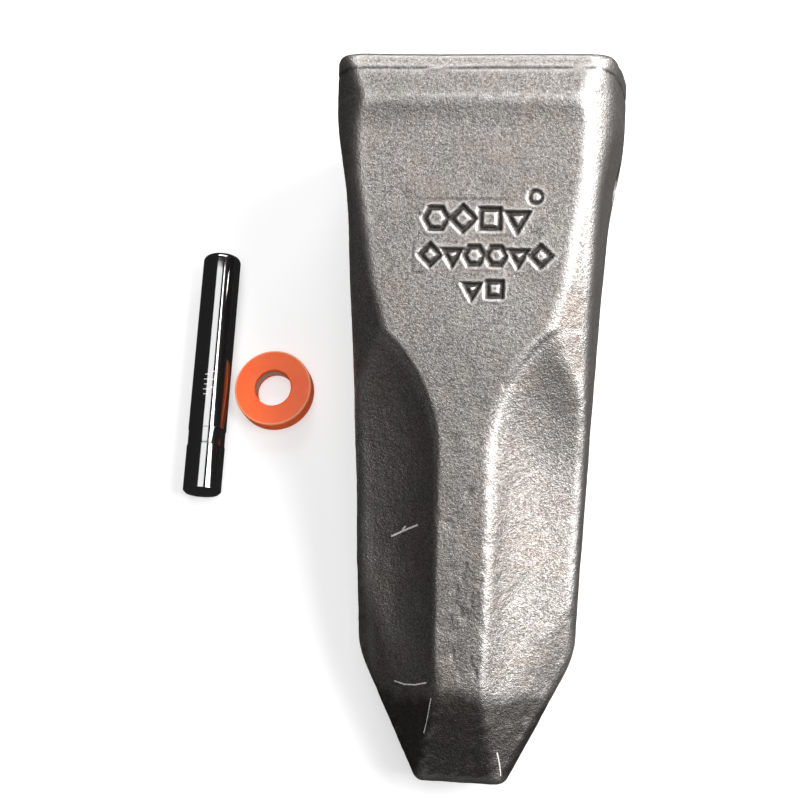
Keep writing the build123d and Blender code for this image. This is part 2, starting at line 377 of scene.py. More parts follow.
def stamp_masks(u, w, v, outer):
    """Masks of the pressed lines, of the lips beside them and of the fine die lines."""
    on_flank = outer & (v > STAMPED_REGION[0]) & (np.abs(w) < STAMPED_REGION[1])
    on_flank = on_flank & (u > STAMP_START) & (u < STAMP_END)
    distance = np.where(on_flank, stamp_distance(w, u), UNSTAMPED)
    pressed = np.clip(0.5 - distance / STAMP_WALL, 0.0, 1.0)
    pressed = pressed * pressed * (3.0 - 2.0 * pressed)
    lip = band_mask(distance - LIP_OFFSET, LIP_WIDTH) * (1.0 - pressed)
    fine = band_mask(np.where(on_flank, die_line_distance(w, u), UNSTAMPED), DIE_LINE_WIDTH)
    return pressed, lip, fine


# ---------------------------------------------------------------------------
# Surface of the tooth: forging scale, dents, worn edges and painted edge highlights, in millimetres
# ---------------------------------------------------------------------------
STAMP_DEPTH, LIP_HEIGHT, DIE_LINE_DEPTH = 1.3, 0.2, 0.28
TRIM_LINE_DEPTH, TRIM_LINE_WIDTH, TRIM_LINE_WANDER = 0.4, 0.6, 1.1
WRINKLE_SLANT = ((1.0, 0.7, 0.0), (-0.25, 0.35, 0.0), (0.0, 0.0, 1.0))
ROUGHNESS_AT, ROUGHNESS = (0.0, 120.0, 180.0, LENGTH), (0.6, 0.7, 1.3, 1.3)
POCKET_ROUGHNESS = 0.5
DENT_COUNT, DENT_RADIUS, DENT_DEPTH = 150, (0.9, 2.6), (0.10, 0.35)
GOUGE_COUNT, GOUGE_PLACE, GOUGE_REACH = 24, (200.0, 300.0), (0.0, 0.55)
GOUGE_WIDTH, GOUGE_LENGTH, GOUGE_DEPTH, GOUGE_HEADING = 1.2, (1.6, 3.0), (0.25, 0.55), (-0.5, 0.3)
POINT_START, POINT_FADE, POINT_WANDER = 304.0, 8.0, 5.0

WEAR_BULGE, WEAR_BULGE_RANGE = 0.05, 0.28     # bulge where wear starts, and what makes it full
# Rib edge marks: partly wear, partly a painted highlight that makes the right side far stronger than
# the left.
RIB_WEAR_AND_HIGHLIGHT_WIDTH, LEFT_RIB_WEAR_AND_HIGHLIGHT = 1.5, 0.2
RIGHT_RIB_WEAR_AND_HIGHLIGHT_AT, RIGHT_RIB_WEAR_AND_HIGHLIGHT = (150.0, 200.0), (1.0, 0.45)
# Collar line: partly worn edge, partly a painted highlight on the step below the band.
COLLAR_WEAR_AND_HIGHLIGHT_START, COLLAR_WEAR_AND_HIGHLIGHT_WIDTH, COLLAR_WEAR_AND_HIGHLIGHT_WANDER = 1.2, 1.1, 1.6
# Left ridge line: a painted highlight only.
RIDGE_PAINTED_HIGHLIGHT, RIDGE_PAINTED_HIGHLIGHT_OFFSET, RIDGE_PAINTED_HIGHLIGHT_WIDTH = 0.5, 1.5, 2.2
RIDGE_PAINTED_HIGHLIGHT_AT, RIDGE_PAINTED_HIGHLIGHT_FADE = (165.0, 190.0, 292.0, 304.0), (0.0, 1.0, 1.0, 0.0)


def noise_at(points, size, seed):
    """Signed noise with features of the given size, at each point of a grid."""
    shift = Vector((17.3 * seed, 5.9 * seed, 31.7 * seed))
    flat = points.reshape(-1, 3)
    values = [noise.fractal(Vector(p) / size + shift, 1.0, 2.0, 2) for p in flat]
    return np.array(values).reshape(points.shape[:2])


def grid_normals(points):
    """Normals of a closed-round grid of points, ring by ring."""
    along = np.gradient(points, axis=0)
    around = np.roll(points, -1, 1) - np.roll(points, 1, 1)
    normals = np.cross(around, along)
    return normals / np.maximum(np.linalg.norm(normals, axis=2, keepdims=True), 1e-9)


def dent(relief, points, spot, across, length, depth, heading):
    """Presses a long or round dent into the relief, around a point of the grid."""
    near = np.abs(points[:, 0, 0] - spot[0]) < 2.5 * max(across, length)
    offset = points[near] - spot
    along = offset[..., 0] * cos(heading) + offset[..., 1] * sin(heading)
    aside = -offset[..., 0] * sin(heading) + offset[..., 1] * cos(heading)
    distance = (along / length) ** 2 + (aside / across) ** 2 + (offset[..., 2] / max(across, 2.0)) ** 2
    relief[near] -= depth * np.exp(-distance)


def blur(grid, rounds):
    """Averages a grid, closed one way round, with its neighbours."""
    for _ in range(rounds):
        before = np.concatenate((grid[:1], grid[:-1]))
        after = np.concatenate((grid[1:], grid[-1:]))
        grid = (grid + np.roll(grid, 1, 1) + np.roll(grid, -1, 1) + before + after) / 5
    return grid


def forging_relief(points, outer):
    """Long waves, lumps and slanted wrinkles, rougher towards the point."""
    slanted = (points.reshape(-1, 3) @ np.array(WRINKLE_SLANT).T).reshape(points.shape)
    waves = noise_at(points, 42.0, 1) * 0.30
    lumps = noise_at(points, 11.0, 2) * 0.12
    wrinkles = noise_at(slanted, 3.4, 3) * 0.10
    relief = waves + (lumps + wrinkles) * np.interp(points[..., 0], ROUGHNESS_AT, ROUGHNESS)
    return np.where(outer, relief, relief * POCKET_ROUGHNESS)


def press_dents(relief, points, first_outer):
    """Presses round dents anywhere, then gouges on the rib and the bevel."""
    ring_count, round_count = points.shape[:2]
    draw = np.random.default_rng(11)
    for _ in range(DENT_COUNT):
        ring = draw.integers(first_outer + 5, ring_count - 12)
        spot = points[ring, draw.integers(round_count)]
        radius = draw.uniform(*DENT_RADIUS)
        dent(relief, points, spot, radius, radius, draw.uniform(*DENT_DEPTH), 0.0)
    from_top = np.abs(np.arctan2(points[first_outer, :, 2], points[first_outer, :, 1]) - pi / 2)
    for _ in range(GOUGE_COUNT):
        away = np.abs(points[first_outer:-8, 0, 0] - draw.uniform(*GOUGE_PLACE))
        reach = draw.uniform(*GOUGE_REACH)
        spot = points[first_outer + np.argmin(away), np.argmin(np.abs(from_top - reach * 0.6))]
        spot = spot * (1.0, draw.choice((-1.0, 1.0)), 1.0)
        length = draw.uniform(*GOUGE_LENGTH)
        depth = draw.uniform(*GOUGE_DEPTH)
        dent(relief, points, spot, GOUGE_WIDTH, length, depth, draw.uniform(*GOUGE_HEADING))


def rib_wear_and_highlight(u, w, v):
    """Wear along the rounded edges between the flank and the upper scoops, with a painted highlight
    that makes it strongest on the right.
    """
    floor, slope = scoop_floor(u, np.abs(w))
    gap = v - half_height(u) - scoop_distance(u, v - floor, slope)
    there = (u > SCOOP_START) & (u < RIB_END) & (v > 0.0) & (np.abs(w) < RIDGE_OUTER - 6.0)
    right = np.interp(u, RIGHT_RIB_WEAR_AND_HIGHLIGHT_AT, RIGHT_RIB_WEAR_AND_HIGHLIGHT)
    side = np.where(w > 0.0, right, LEFT_RIB_WEAR_AND_HIGHLIGHT)
    return np.where(there, band_mask(gap, RIB_WEAR_AND_HIGHLIGHT_WIDTH), 0.0) * side


def wear_and_highlight_mask(points, moved, normals, outer):
    """1 where handling has rubbed the scale off at bulges; also painted highlights, partly over real
    wear, along the rib's edges (strongest on the right) and the collar's lower edge, and a painted
    highlight alone along the left ridge.
    """
    u, w, v = points[..., 0], points[..., 1], points[..., 2]
    bulge = ((moved - blur(moved, 6)) * normals).sum(2)
    wear_and_highlight = np.clip((bulge - WEAR_BULGE) / WEAR_BULGE_RANGE, 0.0, 1.0) * outer
    wear_and_highlight = np.maximum(wear_and_highlight, rib_wear_and_highlight(u, w, v) * outer)
    # The collar's lower edge: a ragged light line, partly worn edge and partly painted highlight.
    ragged = noise_at(points, 5.0, 8)
    from_collar = u - BAND_END + COLLAR_WEAR_AND_HIGHLIGHT_START - COLLAR_WEAR_AND_HIGHLIGHT_WANDER * ragged
    collar = band_mask(from_collar, COLLAR_WEAR_AND_HIGHLIGHT_WIDTH) * np.clip(0.55 + ragged, 0.0, 1.0)
    wear_and_highlight = np.maximum(wear_and_highlight, collar * outer)
    # The left ridge: a painted highlight, not wear.
    ridge_line = line(u, (SCOOP_FULL, RIDGE_FULL), (RIB_END, RIDGE_END)) + RIDGE_PAINTED_HIGHLIGHT_OFFSET
    ridge = RIDGE_PAINTED_HIGHLIGHT * band_mask(-w - ridge_line, RIDGE_PAINTED_HIGHLIGHT_WIDTH) * (v > 0.0)
    ridge = ridge * np.interp(u, RIDGE_PAINTED_HIGHLIGHT_AT, RIDGE_PAINTED_HIGHLIGHT_FADE)
    return np.maximum(wear_and_highlight, ridge * outer)


def roughen(points, first_outer):
    """Returns the tooth's points with their relief, and the masks for its material."""
    normals = grid_normals(points)
    u, w, v = points[..., 0], points[..., 1], points[..., 2]
    outer = np.arange(points.shape[0])[:, None] >= first_outer
    relief = forging_relief(points, outer)
    press_dents(relief, points, first_outer)
    pressed, lip, fine = stamp_masks(u, w, v, outer)
    relief = relief - STAMP_DEPTH * pressed + LIP_HEIGHT * lip - DIE_LINE_DEPTH * fine
    trim_line = BAND_START + noise_at(points, 16.0, 5) * TRIM_LINE_WANDER
    groove = band_mask(u - trim_line, TRIM_LINE_WIDTH) * outer
    relief = relief - TRIM_LINE_DEPTH * groove
    moved = points + normals * relief[..., None]
    point_line = u + noise_at(points, 9.0, 7) * POINT_WANDER
    masks = {
        "stamp": np.maximum(pressed, 0.55 * fine),
        "groove": groove,
        "wear_and_highlight": wear_and_highlight_mask(points, moved, normals, outer),
        "inside": np.broadcast_to(1.0 - outer, u.shape),
        "point": np.clip((point_line - POINT_START) / POINT_FADE, 0.0, 1.0),
    }
    return draw_back_ears(moved), masks


def draw_back_ears(points):
    """Reaches the side walls back past the rim in two rounded ears, level with the bore."""
    u, v = points[..., 0], points[..., 2]
    fade = np.clip(1.0 - u / EAR_FADE, 0.0, 1.0)
    rise = np.clip(1.0 - (v / EAR_HALF_HEIGHT) ** 2, 0.0, 1.0)
    drawn = points.copy()
    drawn[..., 0] = u - EAR_REACH * fade**2 * rise**1.5
    return drawn


# ---------------------------------------------------------------------------
# Meshes of the tooth and of turned pieces
# ---------------------------------------------------------------------------
CUTTER_REACH, CUTTER_FLARE = 12.0 * MM, 0.9
SCRATCHES = (                 # paths of (u, w) points on the upper skin, and their width
    (((225.5, -23.0), (227.5, -28.5), (229.0, -32.0), (231.0, -36.5)), 0.6),
    (((228.0, -31.0), (226.2, -29.6)), 0.6),
    (((301.5, -16.0), (303.0, -22.0), (303.2, -28.0), (302.0, -33.0)), 0.45),
    (((334.0, 19.0), (339.0, 20.1), (345.0, 20.8)), 0.45),
    (((309.0, -13.4), (318.0, -15.0), (326.0, -16.9)), 0.32),
)


def tooth_axes():
    """Matrix from (u, w, v) in millimetres to the row frame in metres."""
    rim = mounts["adapter_socket"]
    out = Vector(rim["axis"])
    along = -out
    across = Vector((1.0, 0.0, 0.0))
    up = along.cross(across)
    turn = Matrix((along, across, up)).transposed()
    return Matrix.Translation(rim["pos_m"]) @ turn.to_4x4() @ Matrix.Scale(MM, 4)


def on_skin(u, w):
    """Point of the tooth's upper skin at u and w, in the row frame in millimetres."""
    heights = np.linspace(0.0, 80.0, 1601)
    top = heights[outside(np.full_like(heights, u), w, heights) < 0].max()
    return (tooth_axes() @ Vector((u, w, top))) / MM


def scratch_lines():
    """The scratches as straight pieces: start, end and width in millimetres."""
    return [
        (on_skin(*start), on_skin(*end), width)
        for path, width in SCRATCHES
        for start, end in zip(path, path[1:])
    ]


def add_layer(mesh, name, values):
    layer = mesh.attributes.new(name, "FLOAT", "POINT")
    layer.data.foreach_set("value", np.ascontiguousarray(values, np.float32).ravel())


def shade_smooth(mesh, sharp_degrees=None):
    """Shades smooth everywhere, or only where faces meet at less than the given angle."""
    mesh.polygons.foreach_set("use_smooth", np.ones(len(mesh.polygons), bool))
    if sharp_degrees:
        mesh.set_sharp_from_angle(angle=radians(sharp_degrees))


def new_object(name, data):
    obj = bpy.data.objects.new(name, data)
    bpy.context.scene.collection.objects.link(obj)
    return obj


def make_tooth():
    points, first_outer = tooth_rings()
    moved, masks = roughen(points, first_outer)
    ring_count, round_count = points.shape[:2]
    index = np.arange(ring_count * round_count).reshape(ring_count, round_count)
    ahead = np.roll(index, -1, 1)
    quads = np.stack((index[:-1], index[1:], ahead[1:], ahead[:-1]), -1).reshape(-1, 4)
    faces = quads.tolist() + [index[0].tolist(), index[-1][::-1].tolist()]
    mesh = bpy.data.meshes.new("tooth_forging")
    mesh.from_pydata(moved.reshape(-1, 3).tolist(), [], faces)
    for name, values in masks.items():
        add_layer(mesh, name, values)
    mesh.transform(tooth_axes())
    mesh.update()
    tooth = new_object("tooth_forging", mesh)
    drill_bore(tooth)
    shade_smooth(tooth.data)
    tooth.data.materials.append(steel_material(scratch_lines()))
    return tooth


def drill_bore(tooth):
    """Cuts the pin bore through both side walls, flared outside the bore's stated length."""
    bore = mounts["pin_bore"]
    radius = bore["dims"]["r_mm"] * MM
    half = bore["dims"]["length_mm"] * MM / 2
    mouth = radius + CUTTER_REACH * CUTTER_FLARE
    profile = (
        (-half - CUTTER_REACH, mouth),
        (-half, radius),
        (half, radius),
        (half + CUTTER_REACH, mouth),
    )
    cutter_mesh = lathe("bore_cutter", profile, 96)
    turn = Vector((0.0, 0.0, 1.0)).rotation_difference(Vector(bore["axis"])).to_matrix().to_4x4()
    cutter_mesh.transform(Matrix.Translation(bore["pos_m"]) @ turn)
    cutter = new_object("bore_cutter", cutter_mesh)
    cut = tooth.modifiers.new("bore", "BOOLEAN")
    cut.operation = "DIFFERENCE"
    cut.solver = "EXACT"
    cut.object = cutter
    bpy.context.view_layer.update()
    evaluated = tooth.evaluated_get(bpy.context.evaluated_depsgraph_get())
    result = bpy.data.meshes.new_from_object(evaluated)
    tooth.modifiers.clear()
    tooth.data = result
    bpy.data.objects.remove(cutter)


def lathe(name, profile, count):
    """Mesh of a profile of (height, radius) points turned round Z. Radius 0 closes an end."""
    vertices, faces = [], []
    for height, radius in profile:
        for k in range(count):
            angle = 2 * pi * k / count
            vertices.append((radius * cos(angle), radius * sin(angle), height))
    for row in range(len(profile) - 1):
        for k in range(count):
            a, b = row * count + k, row * count + (k + 1) % count
            faces.append((a, b, b + count, a + count))
    if profile[0] != profile[-1]:
        last = (len(profile) - 1) * count
        faces.append(tuple(range(count))[::-1])
        faces.append(tuple(range(last, last + count)))
    mesh = bpy.data.meshes.new(name)
    mesh.from_pydata(vertices, [], faces)
    mesh.update()
    return mesh


# ---------------------------------------------------------------------------
# Materials
# ---------------------------------------------------------------------------
STEEL_DARK, STEEL_MID, STEEL_LIGHT = (0.13, 0.118, 0.11), (0.28, 0.262, 0.25), (0.5, 0.48, 0.465)
RUST, PATINA = (0.30, 0.20, 0.13), (0.30, 0.30, 0.24)
POINT_DARK, SUNK_LINE_DARK, BARE_STEEL = (0.03, 0.027, 0.025), (0.03, 0.026, 0.023), (0.55, 0.53, 0.5)
BLACK_COATING, COATING_DUST, WHITE_PAINT = (0.004, 0.004, 0.0045), (0.12, 0.12, 0.12), (0.7, 0.7, 0.7)
ORANGE, DEEP_ORANGE, ORANGE_PAINTED_HIGHLIGHT = (1.0, 0.14, 0.015), (1.0, 0.11, 0.01), (1.0, 0.45, 0.25)
SPRING_DARK, SPRING_LIGHT = (0.5, 0.49, 0.47), (0.75, 0.74, 0.72)


def new_material(name):
    material = bpy.data.materials.new(name)
    material.use_nodes = True
    tree = material.node_tree
    return material, tree, tree.nodes["Principled BSDF"]


def make_node(tree, kind, values=None, **settings):
    """Adds a shader node. A value is a number, a colour or another node's output."""
    item = tree.nodes.new("ShaderNode" + kind)
    for name, value in settings.items():
        setattr(item, name, value)
    for key, value in (values or {}).items():
        if isinstance(value, bpy.types.NodeSocket):
            tree.links.new(value, item.inputs[key])
        else:
            item.inputs[key].default_value = value
    return item


def position_mm(tree):
    """The point on the piece in millimetres, which stays with the piece as it moves."""
    coords = make_node(tree, "TexCoord").outputs["Object"]
    return make_node(tree, "VectorMath", {0: coords, "Scale": 1000.0}, operation="SCALE").outputs[0]


def noise_value(tree, place, size, detail=2.0, roughness=0.5):
    """Noise from 0 to 1 with features of the given size in millimetres."""
    values = {"Vector": place, "Scale": 1.0 / size, "Detail": detail, "Roughness": roughness}
    return make_node(tree, "TexNoise", values).outputs[0]


def remap(tree, value, low, high, out_low=0.0, out_high=1.0):
    values = {0: value, 1: low, 2: high, 3: out_low, 4: out_high}
    return make_node(tree, "MapRange", values).outputs[0]


def maths(tree, operation, a, b):
    return make_node(tree, "Math", {0: a, 1: b}, operation=operation).outputs[0]


def mix_color(tree, factor, a, b):
    a = (*a, 1.0) if isinstance(a, tuple) else a
    b = (*b, 1.0) if isinstance(b, tuple) else b
    mix = make_node(tree, "Mix", {0: factor, 6: a, 7: b}, data_type="RGBA")
    return mix.outputs[2]


def layer_value(tree, name):
    return make_node(tree, "Attribute", attribute_name=name).outputs["Fac"]


def bump(tree, height, depth_mm, strength=1.0):
    values = {"Height": height, "Distance": depth_mm * MM, "Strength": strength}
    return make_node(tree, "Bump", values).outputs[0]


def vector_maths(tree, operation, a, b):
    return make_node(tree, "VectorMath", {0: a, 1: b}, operation=operation)


def segment_mask(tree, place, start, end, width):
    """1 on the straight line between two points in millimetres, 0 beyond the width."""
    run = end - start
    offset = vector_maths(tree, "SUBTRACT", place, start).outputs[0]
    reach = vector_maths(tree, "DOT_PRODUCT", offset, run / run.length_squared).outputs["Value"]
    along = make_node(tree, "Clamp", {0: reach}).outputs[0]
    foot = make_node(tree, "VectorMath", {0: run, "Scale": along}, operation="SCALE").outputs[0]
    gap = vector_maths(tree, "DISTANCE", offset, foot).outputs["Value"]
    return remap(tree, gap, width * 0.5, width, 1.0, 0.0)


def lines_mask(tree, place, segments):
    """1 on any of the lines, each given as its start, end and width."""
    mask = segment_mask(tree, place, *segments[0])
    for segment in segments[1:]:
        mask = maths(tree, "MAXIMUM", mask, segment_mask(tree, place, *segment))
    return mask


def steel_material(scratches):
    """Shot-blasted forging scale: dark pits, bare high spots, faint brown and green stains."""
    material, tree, shader = new_material("forged_steel")
    place = position_mm(tree)
    grain = noise_value(tree, place, 1.5, 3.0, 0.7)
    specks = noise_value(tree, place, 0.7, 2.0, 0.6)
    clouds = noise_value(tree, place, 40.0, 4.0, 0.6)
    stains = noise_value(tree, place, 26.0, 3.0, 0.6)
    color = mix_color(tree, remap(tree, grain, 0.40, 0.60), STEEL_DARK, STEEL_MID)
    color = mix_color(tree, remap(tree, specks, 0.54, 0.68, 0.0, 0.85), color, STEEL_LIGHT)
    color = mix_color(tree, remap(tree, clouds, 0.35, 0.7, 0.0, 0.35), color, STEEL_DARK)
    color = mix_color(tree, remap(tree, stains, 0.5, 0.8, 0.0, 0.25), color, RUST)
    color = mix_color(tree, remap(tree, stains, 0.42, 0.25, 0.0, 0.3), color, PATINA)
    color = mix_color(tree, layer_value(tree, "inside"), color, STEEL_DARK)
    # The point, from the end of the rib to the blunt end, is coloured much darker.
    point = layer_value(tree, "point")
    color = mix_color(tree, maths(tree, "MULTIPLY", point, 0.72), color, POINT_DARK)
    # Worn edges and the painted highlights on the rib, collar and left ridge are lightened here.
    wear_and_highlight = layer_value(tree, "wear_and_highlight")
    color = mix_color(tree, maths(tree, "MULTIPLY", wear_and_highlight, 0.75), color, STEEL_LIGHT)
    # The stamped lines, die lines and trim groove are coloured darker.
    sunk_lines = maths(tree, "MAXIMUM", layer_value(tree, "stamp"), layer_value(tree, "groove"))
    color = mix_color(tree, maths(tree, "MULTIPLY", sunk_lines, 0.85), color, SUNK_LINE_DARK)
    bright = lines_mask(tree, place, scratches)
    color = mix_color(tree, bright, color, BARE_STEEL)
    tree.links.new(color, shader.inputs["Base Color"])
    tree.links.new(remap(tree, bright, 0.0, 1.0, 0.92, 0.1), shader.inputs["Metallic"])
    rough = remap(tree, grain, 0.35, 0.65, 0.5, 0.36)
    rough = maths(tree, "SUBTRACT", rough, maths(tree, "MULTIPLY", wear_and_highlight, 0.1))
    tree.links.new(rough, shader.inputs["Roughness"])
    height = maths(tree, "ADD", grain, maths(tree, "MULTIPLY", specks, 0.5))
    tree.links.new(bump(tree, height, 0.34), shader.inputs["Normal"])
    return material


def pin_material(dashes):
    """Glossy black coating with handling smudges, dust and plain white paint dashes."""
    material, tree, shader = new_material("black_coating")
    place = position_mm(tree)
    smudge = noise_value(tree, place, 9.0, 3.0, 0.6)
    dust = noise_value(tree, place, 0.5, 1.0)
    ripple = noise_value(tree, place, 6.0, 1.0)
    color = mix_color(tree, remap(tree, dust, 0.72, 0.8, 0.0, 0.5), BLACK_COATING, COATING_DUST)
    paint = lines_mask(tree, place, dashes)
    color = mix_color(tree, maths(tree, "MULTIPLY", paint, 0.8), color, WHITE_PAINT)
    tree.links.new(color, shader.inputs["Base Color"])
    shader.inputs["IOR"].default_value = 3.2
    tree.links.new(remap(tree, smudge, 0.4, 0.75, 0.06, 0.13), shader.inputs["Roughness"])
    tree.links.new(bump(tree, ripple, 0.02), shader.inputs["Normal"])
    return material


def urethane_material():
    """Moulded orange polyurethane: satin, slightly mottled, with a painted highlight: a pale line on
    its upper rim.
    """
    material, tree, shader = new_material("orange_urethane")
    place = position_mm(tree)
    mottle = noise_value(tree, place, 7.0, 3.0, 0.6)
    grain = noise_value(tree, place, 0.6, 2.0)
    color = mix_color(tree, remap(tree, mottle, 0.35, 0.7), ORANGE, DEEP_ORANGE)
    # Painted highlight: the colour is lightened in a thin line round the upper outer edge.
    parts = make_node(tree, "SeparateXYZ", {0: place})
    flat = make_node(tree, "CombineXYZ", {0: parts.outputs["X"], 1: parts.outputs["Y"]}).outputs[0]
    reach = vector_maths(tree, "DISTANCE", flat, retainer_centre() / MM).outputs["Value"]
    height = parts.outputs["Z"]
    rim = maths(tree, "MULTIPLY", remap(tree, reach, 20.1, 20.5), remap(tree, height, 9.7, 10.2))
    color = mix_color(tree, maths(tree, "MULTIPLY", rim, 0.7), color, ORANGE_PAINTED_HIGHLIGHT)
    tree.links.new(color, shader.inputs["Base Color"])
    tree.links.new(remap(tree, grain, 0.3, 0.7, 0.28, 0.42), shader.inputs["Roughness"])
    tree.links.new(bump(tree, grain, 0.05), shader.inputs["Normal"])
    return material


def spring_material():
    """Oiled spring steel with drawing lines around it."""
    material, tree, shader = new_material("oiled_spring_steel")
    place = position_mm(tree)
    lines = vector_maths(tree, "MULTIPLY", place, (0.2, 0.2, 6.0)).outputs[0]
    drawn = noise_value(tree, lines, 1.0, 2.0)
    color = mix_color(tree, drawn, SPRING_DARK, SPRING_LIGHT)
    tree.links.new(color, shader.inputs["Base Color"])
    shader.inputs["Metallic"].default_value = 0.4
    tree.links.new(remap(tree, drawn, 0.3, 0.7, 0.25, 0.45), shader.inputs["Roughness"])
    tree.links.new(bump(tree, drawn, 0.05), shader.inputs["Normal"])
    return material


# ---------------------------------------------------------------------------
# Pin and retainer: sizes in millimetres, placed by the record's mounts and the
# pin's box
# ---------------------------------------------------------------------------
PIN_LENGTH, PIN_RADIUS = 136.0, 10.3
PIN_NOSE, PIN_CHAMFER = 3.5, 1.5
PIN_GROOVE = (26.0, 35.0, 0.3)            # start, end and depth
DASH_ROWS = ((53.0, 2.8, 5, -0.02), (57.0, 4.5, 3, 0.36))   # start, spacing, count, angle
LONG_DASH, SHORT_DASH, DASH_WIDTH = 1.3, 0.9, 0.35

RING_RADIUS, RING_BORE, RING_HEIGHT, RING_EDGE = 21.25, 9.9, 10.5, 0.8
SPRING_HEIGHT, SPRING_THICK, SPRING_EDGE = 5.0, 1.6, 0.35
SPRING_GAP, SPRING_TURN = 24.0, 200.0     # the gap's width and its middle, in degrees


def arc(centre, radius, start, end, steps):
    """Points (height, radius) on an arc, angles in degrees from the outward direction."""
    angles = [radians(start + (end - start) * k / steps) for k in range(steps + 1)]
    return [(centre[0] + radius * sin(a), centre[1] + radius * cos(a)) for a in angles]


def pin_profile():
    """Chamfered end at 0 with a centre mark, then the groove, then the domed end."""
    r = PIN_RADIUS
    start, end, depth = PIN_GROOVE
    profile = [(0.9, 0.0), (0.0, 1.1), (0.0, 1.6)]
    profile += arc((0.3, r - PIN_CHAMFER - 0.1), 0.3, -90, -45, 3)
    profile += arc((PIN_CHAMFER + 0.1, r - 0.4), 0.4, -45, 0, 4)
    profile += [(start - 0.4, r)] + arc((start - 0.2, r - 0.2), 0.2, 0, 70, 3)
    profile += arc((start + 0.4, r - depth + 0.2), 0.2, 250, 180, 3)
    profile += arc((end - 0.4, r - depth + 0.2), 0.2, 180, 110, 3)
    profile += arc((end + 0.2, r - 0.2), 0.2, -70, 0, 3) + [(end + 0.4, r)]
    profile += [(k, r) for k in (50.0, 70.0, 90.0, 110.0, 125.0)]
    profile += arc((PIN_LENGTH - PIN_NOSE, r - PIN_NOSE), PIN_NOSE, 0, 90, 12)
    profile += [(PIN_LENGTH, 3.0), (PIN_LENGTH, 1.6), (PIN_LENGTH, 1.1), (PIN_LENGTH - 0.9, 0.0)]
    return [(height * MM, radius * MM) for height, radius in profile]


def face_outward(mesh, merge=False):
    """Turns the faces outward, and first joins points that coincide if merge is set."""
    body = bmesh.new()
    body.from_mesh(mesh)
    if merge:
        bmesh.ops.remove_doubles(body, verts=body.verts, dist=1e-7)
        thin = [face for face in body.faces if face.calc_area() < 1e-13]
        bmesh.ops.delete(body, geom=thin, context="FACES_ONLY")
    bmesh.ops.recalc_face_normals(body, faces=body.faces)
    body.to_mesh(mesh)
    body.free()


def closed_lathe(name, profile, count):
    """A turned solid whose profile starts and ends on the axis, or where it started."""
    mesh = lathe(name, profile, count)
    face_outward(mesh, merge=True)
    return mesh


def pin_place():
    """Matrix from the pin's own frame, Z from its chamfered end, to the row frame."""
    shank = mounts["pin_shank"]
    axis = Vector(shank["axis"])
    box_low, box_high = (Vector(corner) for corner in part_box("retaining_pin"))
    middle = (box_low + box_high) / 2
    start = middle - axis * (PIN_LENGTH * MM / 2)
    side = Vector((0.0, 0.0, 1.0))
    turn = Matrix((side, axis.cross(side), axis)).transposed().to_4x4()
    return Matrix.Translation(start) @ turn


def pin_dashes():
    """Short painted lines across the pin in two rows, long and short in turn."""
    place = pin_place()

    def on_shank(along, angle):
        local = Vector((PIN_RADIUS * cos(angle), PIN_RADIUS * sin(angle), along)) * MM
        return (place @ local) / MM

    spots = [(start + gap * k, turn) for start, gap, count, turn in DASH_ROWS for k in range(count)]
    dashes = []
    for k, (along, turn) in enumerate(spots):
        reach = (LONG_DASH if k % 2 else SHORT_DASH) / PIN_RADIUS
        dashes.append((on_shank(along, turn - reach), on_shank(along, turn + reach), DASH_WIDTH))
    return dashes


def make_pin():
    mesh = closed_lathe("side_pin", pin_profile(), 128)
    mesh.transform(pin_place())
    shade_smooth(mesh, 30)
    pin = new_object("side_pin", mesh)
    pin.data.materials.append(pin_material(pin_dashes()))
    return pin


def retainer_centre():
    """The point on the ground under the middle of the retainer."""
    seat = Vector(mounts["retainer_seat"]["pos_m"])
    return Vector((seat.x, seat.y, 0.0))


def ring_profile():
    """Closed section of the retainer: rounded rims, a moulding line and the spring's groove."""
    outer, inner, top, edge = RING_RADIUS, RING_BORE, RING_HEIGHT, RING_EDGE
    low, high = (top - SPRING_HEIGHT) / 2, (top + SPRING_HEIGHT) / 2
    deep = inner + SPRING_THICK
    profile = arc((edge, outer - edge), edge, -90, 0, 8)
    profile += [(top / 2 - 0.5, outer), (top / 2 - 0.15, outer + 0.06)]
    profile += [(top / 2 + 0.15, outer + 0.06), (top / 2 + 0.5, outer)]
    profile += arc((top - edge, outer - edge), edge, 0, 90, 8)
    profile += [(top, outer - 2.0), (top, outer - 5.0), (top, inner + edge + 1.0)]
    profile += arc((top - edge, inner + edge), edge, 90, 180, 8)
    profile += [(high, inner), (high, deep), (low, deep), (low, inner)]
    profile += arc((edge, inner + edge), edge, 180, 270, 8)
    profile += [(0.0, inner + edge + 1.0), (0.0, outer - 4.0)]
    return [(height * MM, radius * MM) for height, radius in profile]


def make_ring():
    profile = ring_profile()
    mesh = closed_lathe("ring_retainer", profile + profile[:1], 160)
    mesh.transform(Matrix.Translation(retainer_centre()))
    shade_smooth(mesh, 35)
    ring = new_object("ring_retainer", mesh)
    ring.data.materials.append(urethane_material())
    return ring


def spring_section():
    """The spring's cross-section, a flat bar with rounded edges, as (height, radius) points."""
    inner, outer, edge = RING_BORE, RING_BORE + SPRING_THICK, SPRING_EDGE
    low, high = (RING_HEIGHT - SPRING_HEIGHT) / 2, (RING_HEIGHT + SPRING_HEIGHT) / 2
    section = arc((low + edge, outer - edge), edge, -90, 0, 4)
    section += arc((high - edge, outer - edge), edge, 0, 90, 4)
    section += arc((high - edge, inner + edge), edge, 90, 180, 4)
    section += arc((low + edge, inner + edge), edge, 180, 270, 4)
    return section


